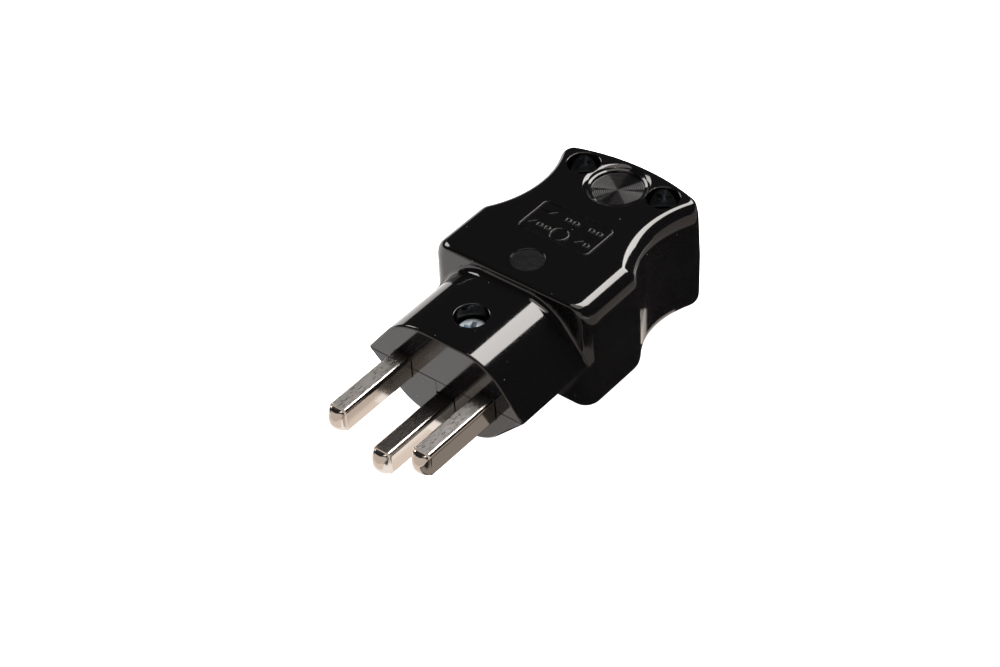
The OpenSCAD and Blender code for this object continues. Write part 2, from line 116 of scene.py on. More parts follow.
def loft(name, rings):  # closed solid through rings of equally many points, with flat ends
    count = len(rings[0])
    points = [p for ring in rings for p in ring]
    faces = [list(range(count))[::-1], [len(points) - count + i for i in range(count)]]
    for k in range(len(rings) - 1):
        for i in range(count):
            j = (i + 1) % count
            faces.append([k * count + i, k * count + j, (k + 1) * count + j, (k + 1) * count + i])
    return meshFrom(name, points, faces)


def revolve(name, profile, steps=96, centre=(0, 0, 0)):  # profile is (radius, height), lower end first
    turns = [2 * math.pi * i / steps for i in range(steps)]
    rings = []
    for radius, height in profile:
        rings.append([(centre[0] + radius * math.cos(a), centre[1] + radius * math.sin(a), centre[2] + height)
                      for a in turns])
    return loft(name, rings)


def box(name, low, high):
    (x1, y1, z1), (x2, y2, z2) = low, high
    corners = [[(x1, y1, z), (x2, y1, z), (x2, y2, z), (x1, y2, z)] for z in (z1, z2)]
    return loft(name, corners)


def remove(item):
    mesh = item.data
    bpy.data.objects.remove(item)
    if mesh.users == 0:
        bpy.data.meshes.remove(mesh)


def settle(item):  # turns the modified shape into the plain mesh of the same object
    bpy.context.view_layer.update()
    shape = bpy.data.meshes.new_from_object(item.evaluated_get(bpy.context.evaluated_depsgraph_get()))
    old = item.data
    item.modifiers.clear()
    item.data = shape
    shape.name = item.name
    bpy.data.meshes.remove(old)
    return item


def combine(item, tool, operation):  # boolean with a solid that is used up
    step = item.modifiers.new("combine", "BOOLEAN")
    step.object = tool
    step.operation = operation
    step.solver = "MANIFOLD"
    settle(item)
    remove(tool)
    return item


def cadCopy(cadName):  # a CAD node's own shape in mm, with its loose triangles joined up
    mesh = nodes[cadName].data.copy()
    mesh.transform(Matrix.Scale(1 / mm, 4))
    build = bmesh.new()
    build.from_mesh(mesh)
    bmesh.ops.remove_doubles(build, verts=build.verts, dist=1e-4)
    build.to_mesh(mesh)
    build.free()
    mesh.materials.clear()
    return newObject(cadName + "_inside", mesh)


def finishPiece(item, material, sharpAngle=38):  # to metres, smooth across soft edges, with its material
    item.data.transform(Matrix.Scale(mm, 4))
    item.data.materials.clear()
    item.data.materials.append(material)
    item.data.shade_smooth()
    item.data.set_sharp_from_angle(angle=math.radians(sharpAngle))
    weighted = item.modifiers.new("normals", "WEIGHTED_NORMAL")
    weighted.keep_sharp = True
    weighted.weight = 90
    settle(item)


# Materials

def newMaterial(name):
    material = bpy.data.materials.new(name)
    material.use_nodes = True
    tree = material.node_tree
    return material, tree, tree.nodes["Principled BSDF"]


def node(tree, kind, **values):  # a value goes to the input of that name, or else to the node's own setting
    made = tree.nodes.new(kind)
    for key, value in values.items():
        if key in made.inputs:
            made.inputs[key].default_value = value
        else:
            setattr(made, key, value)
    return made


def maths(tree, operation, *values):  # each value is a socket or a plain number
    made = node(tree, "ShaderNodeMath", operation=operation)
    for socket, value in zip(made.inputs, values):
        if isinstance(value, bpy.types.NodeSocket):
            tree.links.new(value, socket)
        else:
            socket.default_value = value
    return made.outputs[0]


def noise(tree, place, scale, detail, roughness=0.5):
    made = node(tree, "ShaderNodeTexNoise", Scale=scale, Detail=detail, Roughness=roughness)
    tree.links.new(place, made.inputs["Vector"])
    return made.outputs["Fac"]


def ramp(tree, fac, stops):
    made = tree.nodes.new("ShaderNodeValToRGB")
    tree.links.new(fac, made.inputs["Fac"])
    elements = made.color_ramp.elements
    for i, (position, value) in enumerate(stops):
        element = elements[i] if i < 2 else elements.new(position)
        element.position = position
        element.color = (value, value, value, 1) if isinstance(value, (int, float)) else (*value, 1)
    return made.outputs["Color"]


def blend(tree, amount, first, second):  # from the first colour to the second as the amount rises
    made = node(tree, "ShaderNodeMix", data_type="RGBA")
    made.inputs["A"].default_value = (*first, 1)
    made.inputs["B"].default_value = (*second, 1)
    tree.links.new(amount, made.inputs["Factor"])
    return made.outputs["Result"]


def bump(tree, height, strength, distance):
    made = node(tree, "ShaderNodeBump", Strength=strength, Distance=distance)
    tree.links.new(height, made.inputs["Height"])
    return made.outputs["Normal"]


shellLook = {
    "colour": (0.0032, 0.0030, 0.0034), "ior": 1.56,
    "roughness": 0.085, "hazeScale": 900.0,
    "peel": 0.012, "peelScale": 260.0,  # strength and scale of the faint waviness of the moulded skin
    "dustColour": (0.11, 0.105, 0.10), "dustScale": 620.0,
    "dustSize": 0.06, "dustSkipped": 0.68,  # of its cell, and the share of cells without a speck
}


def shellPlastic():
    look = shellLook
    material, tree, shader = newMaterial("shell_plastic")
    link = tree.links.new
    shader.inputs["IOR"].default_value = look["ior"]
    place = node(tree, "ShaderNodeTexCoord").outputs["Object"]
    wave = noise(tree, place, look["peelScale"], 2.0)
    haze = noise(tree, place, look["hazeScale"], 4.0)
    dust = node(tree, "ShaderNodeTexVoronoi", Scale=look["dustScale"])
    link(place, dust.inputs["Vector"])
    speck = maths(tree, "LESS_THAN", dust.outputs["Distance"], look["dustSize"])
    few = maths(tree, "GREATER_THAN", dust.outputs["Color"], look["dustSkipped"])
    dusty = maths(tree, "MULTIPLY", speck, few)
    link(blend(tree, dusty, look["colour"], look["dustColour"]), shader.inputs["Base Color"])
    base = look["roughness"]
    link(ramp(tree, haze, [(0.3, base * 0.8), (0.7, base * 1.25)]), shader.inputs["Roughness"])
    link(bump(tree, wave, look["peel"], 0.0006), shader.inputs["Normal"])
    return material


pinLook = {
    "colour": (0.55, 0.50, 0.455), "roughness": 0.13,
    "scuffColour": (0.52, 0.505, 0.50), "scuffRoughness": 0.36, "mottleScale": 2600.0, "fineScale": 6000.0,
    "alongStretch": 0.35,  # below 1 the mottle runs along the blade
}


def nickelPlate():  # bright plate, with the tops scuffed where the "scuff" attribute says so
    look = pinLook
    material, tree, shader = newMaterial("pin_nickel")
    link = tree.links.new
    shader.inputs["Metallic"].default_value = 1.0
    place = node(tree, "ShaderNodeTexCoord").outputs["Object"]
    stretch = node(tree, "ShaderNodeMapping", Scale=(look["alongStretch"], 1.0, 1.0))
    link(place, stretch.inputs["Vector"])
    mottle = noise(tree, stretch.outputs["Vector"], look["mottleScale"], 5.0, 0.65)
    fine = noise(tree, place, look["fineScale"], 2.0)
    scuffed = node(tree, "ShaderNodeAttribute", attribute_name="scuff").outputs["Fac"]
    amount = maths(tree, "MULTIPLY", scuffed, ramp(tree, mottle, [(0.32, 0.5), (0.68, 1.0)]))
    link(blend(tree, amount, look["colour"], look["scuffColour"]), shader.inputs["Base Color"])
    rough = node(tree, "ShaderNodeMapRange")
    rough.inputs["To Min"].default_value = look["roughness"]
    rough.inputs["To Max"].default_value = look["scuffRoughness"]
    link(amount, rough.inputs["Value"])
    link(rough.outputs["Result"], shader.inputs["Roughness"])
    height = maths(tree, "MULTIPLY", fine, scuffed)
    link(bump(tree, height, 0.5, 0.00003), shader.inputs["Normal"])
    return material


metalLooks = {
    "screw_zinc": {"colour": (0.66, 0.74, 0.80), "roughness": 0.42, "grain": 3500.0, "bump": 1.0},
    "nut_zinc": {"colour": (0.60, 0.64, 0.70), "roughness": 0.32, "grain": 2500.0, "bump": 0.4},
    "bare_brass": {"colour": (0.70, 0.52, 0.25), "roughness": 0.28, "grain": 1800.0, "bump": 0.3},
}


def satinMetal(name):
    look = metalLooks[name]
    material, tree, shader = newMaterial(name)
    link = tree.links.new
    shader.inputs["Metallic"].default_value = 1.0
    place = node(tree, "ShaderNodeTexCoord").outputs["Object"]
    fine = noise(tree, place, look["grain"], 6.0, 0.65)
    broad = noise(tree, place, look["grain"] / 6, 3.0)
    dark = tuple(c * 0.82 for c in look["colour"])
    base = look["roughness"]
    link(ramp(tree, broad, [(0.3, dark), (0.7, look["colour"])]), shader.inputs["Base Color"])
    link(ramp(tree, fine, [(0.3, base * 0.75), (0.7, base * 1.3)]), shader.inputs["Roughness"])
    link(bump(tree, fine, look["bump"], 0.00004), shader.inputs["Normal"])
    return material


clampLook = {
    "colour": (0.012, 0.012, 0.013), "smoothest": 0.38, "roughest": 0.52, "grain": 1600.0,
}


def clampMoulding():  # the cord clamp's plain moulded skin, a little grainy
    look = clampLook
    material, tree, shader = newMaterial("clamp_plastic")
    shader.inputs["Base Color"].default_value = (*look["colour"], 1)
    place = node(tree, "ShaderNodeTexCoord").outputs["Object"]
    grain = noise(tree, place, look["grain"], 3.0)
    rough = ramp(tree, grain, [(0.3, look["smoothest"]), (0.7, look["roughest"])])
    tree.links.new(rough, shader.inputs["Roughness"])
    tree.links.new(bump(tree, grain, 0.3, 0.00006), shader.inputs["Normal"])
    return material


plastic = shellPlastic()
pinNickel = nickelPlate()
screwZinc = satinMetal("screw_zinc")
nutZinc = satinMetal("nut_zinc")
bareBrass = satinMetal("bare_brass")
clampPlastic = clampMoulding()
print("materials ready")


# Shell halves: the outside is rebuilt with true curves, the inside is the CAD's own

shell = {
    # the grip in plan
    "frontCorner": 3.2, "rearCorner": 2.0, "rearBow": 44.0,
    "scoopRadius": 19.0, "scoopDepth": 4.2, "scoopFromRear": 13.0, "scoopLead": 4.0, "scoopEase": 0.35,
    # the grip's edges: along its sides, at both ends of each half, and at the parting plane
    "sideEdge": 3.7, "upperEdge": 0.8, "lowerEdge": 2.2, "draft": 0.2, "seam": 0.12,
    # the nose's section: a flat top, a rounding and a slope down to each tip
    "noseWidth": 35.3, "noseTop": 10.1, "noseBottom": 9.3,
    "upperSlope": 52.0, "lowerSlope": 45.0, "upperRound": 11.0, "lowerRound": 10.0,
    "noseEdge": 0.5, "noseFillet": 1.1, "noseRoot": 2.5,
    # the open line on the nose face, and how far inside the skin the CAD's own shape takes over
    "seamDepth": 0.7, "seamGap": 0.17, "coreIn": 1.5, "noseCoreIn": 1.3, "corePast": 3.5,
    "noseScrewX": -8.4, "rearScrewFromRear": 5.7, "rearScrewPitch": 18.1, "dishFromRear": 7.4,
}


def gripPlan(sideIn=0.0, endIn=0.0):  # outline of the grip, its sides and its ends set in by so much
    s = shell
    frontR = s["frontCorner"] - 0.4 * sideIn
    rearR = s["rearCorner"] - 0.2 * sideIn
    leadR = max(s["scoopLead"] - sideIn, 0.6)
    y = plug["halfWidth"] - sideIn
    front = Vector((-plug["noseLength"] - endIn - frontR, y - frontR))
    scoop = Vector((rearX + s["scoopFromRear"] + s["scoopEase"] * sideIn,
                    plug["halfWidth"] - s["scoopDepth"] + s["scoopRadius"]))
    radius = s["scoopRadius"] + (1 - 0.6 * s["scoopEase"]) * sideIn
    drop = scoop.y - y + leadR
    lead = Vector((scoop.x + math.sqrt((radius + leadR) ** 2 - drop ** 2), y - leadR))
    bow = Vector((rearX + s["rearBow"], 0))
    bowR = s["rearBow"] - endIn
    rear = crossing(scoop, radius + rearR, bow, bowR - rearR)
    start = math.degrees(math.atan2(lead.y - scoop.y, lead.x - scoop.x))
    end = math.degrees(math.atan2(rear.y - scoop.y, rear.x - scoop.x))
    turn = math.degrees(math.atan2(rear.y, rear.x - bow.x))
    side = arcPoints(front, frontR, 0, 90, 16)
    side += [side[-1].lerp(Vector((lead.x, y)), t) for t in (0.3, 0.6)]
    side += arcPoints(lead, leadR, 90, start + 180, 12)[:-1]
    side += arcPoints(scoop, radius, start, end, 40)[:-1]
    side += arcPoints(rear, rearR, end + 180, turn, 14)[:-1]
    side += arcPoints(bow, bowR, turn, 180, 14)
    return side + [Vector((p.x, -p.y)) for p in reversed(side[:-1])]


def crossing(c1, r1, c2, r2):  # where two circles cross, on the left of the way between their centres
    gap = (c2 - c1).length
    along = (c2 - c1) / gap
    reach = (r1 * r1 - r2 * r2 + gap * gap) / (2 * gap)
    return c1 + reach * along - math.sqrt(r1 * r1 - reach * reach) * Vector((-along.y, along.x))


def gripSolid(side):
    top, seam, draft, reach = plug["halfThickness"], shell["seam"], shell["draft"], shell["sideEdge"]
    endEdge = shell["upperEdge"] if side > 0 else shell["lowerEdge"]
    rings = []
    for angle in (0, 30, 60, 90):  # the rounded edge at the parting plane
        inset = seam * (1 - math.sin(math.radians(angle)))
        height = seam * (1 - math.cos(math.radians(angle)))
        rings.append([(p.x, p.y, side * height) for p in gripPlan(inset, inset)])
    for angle in (0, 6, 12, 18, 24, 30, 36, 42, 48, 53, 58, 63, 68, 72, 76, 80, 83, 86, 88, 90):
        z = top - reach * (1 - math.sin(math.radians(angle)))
        up = (z - top + endEdge) / endEdge
        endIn = draft * min(z / (top - endEdge), 1)
        if up > 0:  # past the height where the end's rounding starts
            endIn += endEdge * (1 - math.sqrt(max(1 - up * up, 0)))
        outline = gripPlan(draft + reach * (1 - math.cos(math.radians(angle))), endIn)
        rings.append([(p.x, p.y, side * z) for p in outline])
    return loft("grip", rings)


def noseOutline(side):  # half a section, from the right tip over the top, or the bottom, to the left tip
    s = shell
    height = s["noseTop"] if side > 0 else s["noseBottom"]
    slope = s["upperSlope"] if side > 0 else s["lowerSlope"]
    radius = s["upperRound"] if side > 0 else s["lowerRound"]
    run = math.tan(math.radians(slope))
    y = s["noseWidth"] / 2 - height / run - radius * math.tan(math.radians(slope / 2))
    tip = s["noseWidth"] / 2
    seam = s["seam"]
    right = [Vector((tip - seam / run - seam * 0.8, 0)), Vector((tip - seam / run - seam * 0.25, seam * 0.45)),
             Vector((tip - seam * 1.3 / run, seam * 1.3))]
    right += [right[-1].lerp(Vector((y, height - radius)) + radius * Vector(
        (math.cos(math.radians(90 - slope)), math.sin(math.radians(90 - slope)))), t) for t in (0.33, 0.66)]
    right += arcPoints((y, height - radius), radius, 90 - slope, 90, 26)
    left = [Vector((-p.x, p.y)) for p in reversed(right)]
    return right + left


def noseSolid(side):
    s = shell
    outline = noseOutline(side)
    outward = mitres(outline)
    lean = 1 / math.sin(math.radians(s["upperSlope"] if side > 0 else s["lowerSlope"]))
    for i in (0, 1, 2, -1, -2, -3):  # the rounded tips keep their form and slide along the parting plane
        outward[i] = Vector((math.copysign(lean, outline[i].x), 0))
    half = s["noseWidth"] / 2
    fillets = [0.15 + (s["noseFillet"] - 0.15) * smoothStep((half - abs(p.x)) / 5) for p in outline]
    edges = [s["noseEdge"] * (0.4 + 0.6 * v / s["noseFillet"]) for v in fillets]
    wallTop = plug["halfThickness"] - s["upperEdge"]

    def ring(outs, xs, drafted):
        made = []
        for p, m, out, x in zip(outline, outward, outs, xs):
            y, z = p.x + out * m.x, max(p.y + out * m.y, 0)
            made.append((x - drafted * s["draft"] * min(z / wallTop, 1), y, side * z))
        return made

    start = -plug["noseLength"]
    rings = [ring(fillets, [start - s["noseRoot"]] * len(outline), 1)]
    for k in range(9):
        angle = math.radians(90 * k / 8)
        rings.append(ring([v * (1 - math.sin(angle)) for v in fillets],
                          [start + v * (1 - math.cos(angle)) for v in fillets], 1 - k / 8))
    for k in range(8):
        angle = math.radians(90 * k / 7)
        rings.append(ring([-v * (1 - math.cos(angle)) for v in edges],
                          [s["noseEdge"] * (math.sin(angle) - 1)] * len(outline), 0))
    return loft("nose", rings)


def coreSolid(side):  # reaches halfway into the walls: inside it the CAD's shape holds
    inset, past = shell["coreIn"], shell["corePast"]
    outline = gripPlan()
    inner = [(p.x - inset * m.x, p.y - inset * m.y) for p, m in zip(outline, mitres(outline))]
    levels = (-past, plug["halfThickness"] - inset)
    grip = loft("core", [[(x, y, side * z) for x, y in inner] for z in levels])
    section = noseOutline(side)
    ring = [(p.x - shell["noseCoreIn"] * m.x, max(p.y - shell["noseCoreIn"] * m.y, 0.3))
            for p, m in zip(section, mitres(section))][2:-2]
    ring = [(ring[0][0], -past)] + ring + [(ring[-1][0], -past)]
    ends = (-plug["noseLength"] - 3, -inset)
    nose = loft("core_nose", [[(x, y, side * z) for y, z in ring] for x in ends])
    return combine(grip, nose, "UNION")


# Wells, dish, round mark, cord inlet, nut pockets and pin slots, each a solid that is cut from the halves

well = {
    "radius": 3.11, "rim": 0.22, "seat": 5.3, "screwHole": 1.71,
}


def roundedRim(radius, rim):  # a profile's way up a wall and over its rounded mouth
    return [(radius + rim * (1 - math.cos(math.radians(a))), -rim * (1 - math.sin(math.radians(a))))
            for a in (0, 15, 30, 45, 60, 75)]


def wellCutter(x, y, top):
    r, seatZ = well["radius"], well["seat"] - top
    profile = [(well["screwHole"], seatZ - 1), (well["screwHole"], seatZ), (r, seatZ)]
    profile += roundedRim(r, well["rim"])
    profile += [(r + well["rim"] * 1.1, 0.03), (r + well["rim"] * 1.1, 1)]
    return revolve("well", profile, 96, centre=(x, y, top))


dish = {
    "mouth": 6.7, "ledge": 5.5, "floor": 5.0, "depth": 1.15,
    "lipSteep": 44.0, "lipFlat": 5.0,  # slope of the curved lip at its inner and outer edge, in degrees
    "colour": (0.004, 0.004, 0.0045), "roughness": 0.12, "ior": 1.25,
    "turnPitch": 0.36, "turnSlope": 22.0,  # the floor's turned grooves: spacing in mm and slope of their sides
}


def dishCutter():
    d = dish
    centre = (rearX + shell["dishFromRear"], 0, plug["halfThickness"])
    steep, flat = math.radians(d["lipSteep"]), math.radians(d["lipFlat"])
    bend = (d["mouth"] - d["ledge"]) / (math.sin(steep) - math.sin(flat))
    lip = []
    for i in range(13):
        slope = steep + (flat - steep) * i / 12
        out = bend * (math.sin(steep) - math.sin(slope))
        lip.append((d["ledge"] + out, bend * (math.cos(slope) - math.cos(flat))))
    ledgeZ = lip[0][1]
    r, floorZ = d["floor"], -d["depth"]
    floor = [(0.02, floorZ), (r - 0.1, floorZ), (r - 0.02, floorZ + 0.03), (r, floorZ + 0.1),
             (r + 0.06, ledgeZ - 0.1), (r + 0.12, ledgeZ - 0.04)]
    rim = [(d["mouth"] + 0.06, 0.01), (d["mouth"] + 0.06, 1)]
    return revolve("dish", floor + lip + rim, 128, centre=centre)


def turnedPlastic():  # the dish's floor: fine rings round its middle
    material, tree, shader = newMaterial("shell_plastic_turned")
    link = tree.links.new
    shader.inputs["Base Color"].default_value = (*dish["colour"], 1)
    shader.inputs["Roughness"].default_value = dish["roughness"]
    shader.inputs["IOR"].default_value = dish["ior"]
    place = node(tree, "ShaderNodeTexCoord").outputs["Object"]
    centred = node(tree, "ShaderNodeMapping", vector_type="POINT")
    centred.inputs["Location"].default_value = (-(rearX + shell["dishFromRear"]) * mm, 0, 0)
    flat = node(tree, "ShaderNodeVectorMath", operation="MULTIPLY")
    flat.inputs[1].default_value = (1, 1, 0)
    radius = node(tree, "ShaderNodeVectorMath", operation="LENGTH")
    link(place, centred.inputs["Vector"])
    link(centred.outputs["Vector"], flat.inputs[0])
    link(flat.outputs["Vector"], radius.inputs[0])
    grooves = maths(tree, "PINGPONG", radius.outputs["Value"], dish["turnPitch"] / 2 * mm)
    slope = math.tan(math.radians(dish["turnSlope"]))
    link(bump(tree, grooves, 1.0, slope), shader.inputs["Normal"])
    return material


mark = {
    "x": -24.35, "radius": 3.1, "depth": 0.22, "rim": 0.1,
    "colour": (0.006, 0.006, 0.0065), "smoothest": 0.17, "roughest": 0.27,
    "streakScale": 2200.0, "streakStretch": 0.25, "streakTurn": 35.0,
}


def markCutter():
    r, depth = mark["radius"], mark["depth"]
    profile = [(r - 0.05, -depth), (r, -depth + 0.04)]
    profile += roundedRim(r, mark["rim"])
    profile += [(r + mark["rim"] * 1.1, 0.02), (r + mark["rim"] * 1.1, 1)]
    return revolve("mark", profile, 96, centre=(mark["x"], 0, plug["halfThickness"]))


def mattPlastic():  # the round mark's duller skin, with faint streaks
    material, tree, shader = newMaterial("shell_plastic_matt")
    shader.inputs["Base Color"].default_value = (*mark["colour"], 1)
    place = node(tree, "ShaderNodeTexCoord").outputs["Object"]
    stretch = node(tree, "ShaderNodeMapping", Scale=(1.0, mark["streakStretch"], 1.0))
    stretch.inputs["Rotation"].default_value = (0, 0, math.radians(mark["streakTurn"]))
    tree.links.new(place, stretch.inputs["Vector"])
    streaks = noise(tree, stretch.outputs["Vector"], mark["streakScale"], 3.0)
    rough = ramp(tree, streaks, [(0.3, mark["smoothest"]), (0.7, mark["roughest"])])
    tree.links.new(rough, shader.inputs["Roughness"])
    return material


def dressFloor(body, x, radius, depth, look):  # gives the flat floor of a round recess its own finish
    body.data.materials.append(look)
    level = plug["halfThickness"] - depth
    for face in body.data.polygons:
        middle = face.center / mm
        if abs(middle.z - level) < 0.01 and math.hypot(middle.x - x, middle.y) < radius:
            face.material_index = len(body.data.materials) - 1


inlet = {
    "radius": 5.0, "flare": 0.8, "depth": 4.6,
}


def inletCutter():
    r, flare = inlet["radius"], inlet["flare"]
    profile = [(r, inlet["depth"]), (r, flare)]
    profile += [(r + flare * (1 - math.cos(math.radians(a))), flare * (1 - math.sin(math.radians(a))))
                for a in (15, 30, 45, 60, 75)]
    profile += [(r + flare, -0.4), (r + flare, -2)]
    turns = [2 * math.pi * i / 96 for i in range(96)]
    return loft("inlet", [[(rearX + depth, radius * math.cos(a), radius * math.sin(a)) for a in turns]
                          for radius, depth in profile])


nutPocket = {
    "across": 5.7, "depth": 4.8,
    "mouth": 1.06, "lead": 0.18,  # how much wider the mouth is, and the depth over which it narrows
}


def nutCutter(x, y):
    corner = nutPocket["across"] / 2 / math.cos(math.radians(30))
    ring = [corner * Vector((math.cos(math.radians(60 * i)), math.sin(math.radians(60 * i)))) for i in range(6)]
    bottom, mouth = -plug["halfThickness"], nutPocket["mouth"]
    rings = []
    for depth, grow in ((-1, mouth), (0, mouth), (nutPocket["lead"], 1), (nutPocket["depth"], 1)):
        rings.append([(x + p.x * grow, y + p.y * grow, bottom + depth) for p in ring])
    return loft("nut_pocket", rings)


def roundedSection(width, height, radius, steps=8):
    points = []
    for cx, cy, start in ((1, 1, 0), (-1, 1, 90), (-1, -1, 180), (1, -1, 270)):
        centre = (cx * (width / 2 - radius), cy * (height / 2 - radius))
        points += arcPoints(centre, radius, start, start + 90, steps)
    return points


pin = {
    "reach": 19.0, "width": 4.0, "height": 5.0, "edge": 0.75, "gap": 0.06,
    "tip": 2.0, "shoulder": 0.32, "step": 0.24,  # the tip, the soft shoulder at its foot, and its step inwards
    "cutAt": -2.0,  # in front of it the blade is rebuilt, behind it the CAD's own block stays
}


def slotCutter(y, z):
    gap = pin["gap"]
    ring = roundedSection(pin["width"] + 2 * gap, pin["height"] + 2 * gap, pin["edge"] + gap)
    rings = []
    for x, grow in ((pin["cutAt"], 0), (-0.12, 0), (0.02, 0.14), (1, 0.14)):  # widens a little at the nose face
        rings.append([(x, y + p.x * (1 + grow / 2), z + p.y * (1 + grow / 2.5)) for p in ring])
    return loft("slot", rings)


def faceSeamCutter():  # the fine open line between the halves on the nose face
    deep, wide, reach = shell["seamDepth"], shell["seamGap"] / 2, shell["noseWidth"] / 2 - 0.1
    section = [(-deep, wide), (-0.05, wide), (0.02, wide * 1.5),
               (0.02, -wide * 1.5), (-0.05, -wide), (-deep, -wide)]
    return loft("face_seam", [[(x, y, z) for x, z in section] for y in (-reach, reach)])


tongue = {
    "back": -3.0, "front": -0.03, "halfWidth": 2.0, "top": 0.5,
}


def shellHalf(name, side):
    body = combine(gripSolid(side), noseSolid(side), "UNION")
    earthTop = -plug["earthDrop"] + pin["height"] / 2
    if side > 0:  # the tongue over the earth pin comes down past the parting plane
        low = (tongue["back"], -tongue["halfWidth"], earthTop + pin["gap"])
        high = (tongue["front"], tongue["halfWidth"], tongue["top"])
        combine(body, box("tongue", low, high), "UNION")
    # what the CAD half has past the parting plane, short of the skin so that the line between the halves stays open
    low, high = (-3, 0.4) if side > 0 else (-0.4, 3)
    reach = loft("reach", [[(p.x, p.y, z) for p in gripPlan(0.5, 2.0)] for z in (low, high)])
    combine(reach, box("reach_nose", (-plug["noseLength"] - 4, -16, low), (-1.6, 16, high)), "UNION")
    across = combine(cadCopy(name), reach, "INTERSECT")
    combine(body, across, "UNION")
    void = combine(coreSolid(side), cadCopy(name), "DIFFERENCE")
    combine(body, void, "DIFFERENCE")
    combine(body, inletCutter(), "DIFFERENCE")
    for y, z in ((-plug["pinPitch"] / 2, 0), (plug["pinPitch"] / 2, 0), (0, -plug["earthDrop"])):
        if side < 0 or z == 0:
            combine(body, slotCutter(y, z), "DIFFERENCE")
    rearScrewX, rearScrewY = rearX + shell["rearScrewFromRear"], shell["rearScrewPitch"] / 2
    if side > 0:
        combine(body, wellCutter(shell["noseScrewX"], 0, shell["noseTop"]), "DIFFERENCE")
        for y in (-rearScrewY, rearScrewY):
            combine(body, wellCutter(rearScrewX, y, plug["halfThickness"]), "DIFFERENCE")
        combine(body, dishCutter(), "DIFFERENCE")
        combine(body, markCutter(), "DIFFERENCE")
    else:
        wide = pin["width"] / 2 + pin["gap"]
        combine(body, box("earth_way", (-2.0, -wide, earthTop - 1), (1, wide, 1)), "DIFFERENCE")
        for y in (-rearScrewY, rearScrewY):
            combine(body, nutCutter(rearScrewX, y), "DIFFERENCE")
    combine(body, faceSeamCutter(), "DIFFERENCE")
    body.name = name + "_skin"
    finishPiece(body, plastic)
    if side > 0:
        dressFloor(body, mark["x"], mark["radius"], mark["depth"], mattPlastic())
        dressFloor(body, rearX + shell["dishFromRear"], dish["floor"], dish["depth"], turnedPlastic())
    print(body.name, len(body.data.polygons), "faces")
    return body


upperShell = shellHalf("upper_shell", 1)
lowerShell = shellHalf("lower_shell", -1)
for item, cad in ((upperShell, "upper_shell"), (lowerShell, "lower_shell")):
    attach(item, "root")
    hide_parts(cad)
print("shell halves done")


# Pins: each blade is rebuilt with a pillowed tip, its terminal block is the CAD's own

def pinBlade(y, z):
    edge, step = pin["edge"], pin["step"]
    section = roundedSection(pin["width"], pin["height"], edge)
    base = pin["reach"] - pin["tip"]
    start = base + pin["shoulder"]
    rings = [[(x, y + p.x, z + p.y) for p in section] for x in (pin["cutAt"], 4, 10, base - 0.1, base)]
    for out, inset in ((0.08, 0.012), (0.16, 0.05), (0.23, 0.11), (0.29, 0.18), (pin["shoulder"], step)):
        ring = roundedSection(pin["width"] - 2 * inset, pin["height"] - 2 * inset, edge)
        rings.append([(base + out, y + p.x, z + p.y) for p in ring])
    width, height, long, steps = pin["width"] - 2 * step, pin["height"] - 2 * step, pin["reach"] - start, 16
    for k in range(1, steps + 1):
        lean = math.sin(math.radians(90 * k / steps))
        shrink = max(math.sqrt(1 - min(lean, 1) ** 2), 0.03)
        corner = edge + (pin["width"] / 2 * 0.96 - step - edge) * smoothStep(k / steps * 1.6)
        ring = roundedSection(width, height, corner)
        rings.append([(start + long * lean, y + p.x * shrink, z + p.y * shrink) for p in ring])
    return loft("blade", rings)


pins = {  # middle in Y and Z, and how scuffed the top is
    "line_pin": (-plug["pinPitch"] / 2, 0, 1.0),
    "neutral_pin": (plug["pinPitch"] / 2, 0, 1.0),
    "earth_pin": (0, -plug["earthDrop"], 0.35),
}
for name, (y, z, scuffed) in pins.items():
    inner = cadCopy(name)
    combine(inner, box("cut", (pin["cutAt"], -20, -20), (30, 20, 20)), "DIFFERENCE")
    piece = combine(inner, pinBlade(y, z), "UNION")
    piece.name = name + "_plated"
    finishPiece(piece, pinNickel)
    scuff = piece.data.attributes.new("scuff", "FLOAT", "POINT")
    for i, vertex in enumerate(piece.data.vertices):
        onTop = vertex.co.z / mm > z + pin["height"] / 2 - 0.06 and vertex.co.x > 0
        scuff.data[i].value = scuffed if onTop else 0.0
    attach(piece, "root")
    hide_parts(name)
print("pins done")


# Rating panel: a raised frame with plain raised marks that say nothing

panel = {
    "middleX": -35.3, "length": 8.4, "width": 15.5, "corner": 0.8, "line": 0.36, "height": 0.18,
    "rows": 2, "marks": 8, "rowGap": 3.9, "markGap": 1.75, "markHigh": 1.7, "markWide": 0.4, "ring": 0.5,
    "bigRing": 1.7, "bigRingX": 2.2, "bigRingY": 0.25, "seed": 5,
}


def newTree(name, sizes):  # a node group with a named input for each size, and the material
    tree = bpy.data.node_groups.new(name, "GeometryNodeTree")
    tree.interface.new_socket("Geometry", in_out="OUTPUT", socket_type="NodeSocketGeometry")
    for label, kind in sizes.items():
        tree.interface.new_socket(label, in_out="INPUT", socket_type=kind)
    return tree, tree.nodes.new("NodeGroupInput"), tree.nodes.new("NodeGroupOutput")


def runTree(name, tree, values):  # one object shaped by the tree, then turned into a plain mesh
    item = newObject(name, bpy.data.meshes.new(name))
    step = item.modifiers.new("shape", "NODES")
    step.node_group = tree
    for socket in tree.interface.items_tree:
        if socket.in_out == "INPUT" and socket.name in values:
            step[socket.identifier] = values[socket.name]
    return settle(item)


def treeEnd(tree, groupInput, groupOutput, shape):
    real = node(tree, "GeometryNodeRealizeInstances")
    dressed = node(tree, "GeometryNodeSetMaterial")
    tree.links.new(shape, real.inputs["Geometry"])
    tree.links.new(real.outputs["Geometry"], dressed.inputs["Geometry"])
    tree.links.new(groupInput.outputs["Material"], dressed.inputs["Material"])
    tree.links.new(dressed.outputs["Geometry"], groupOutput.inputs["Geometry"])


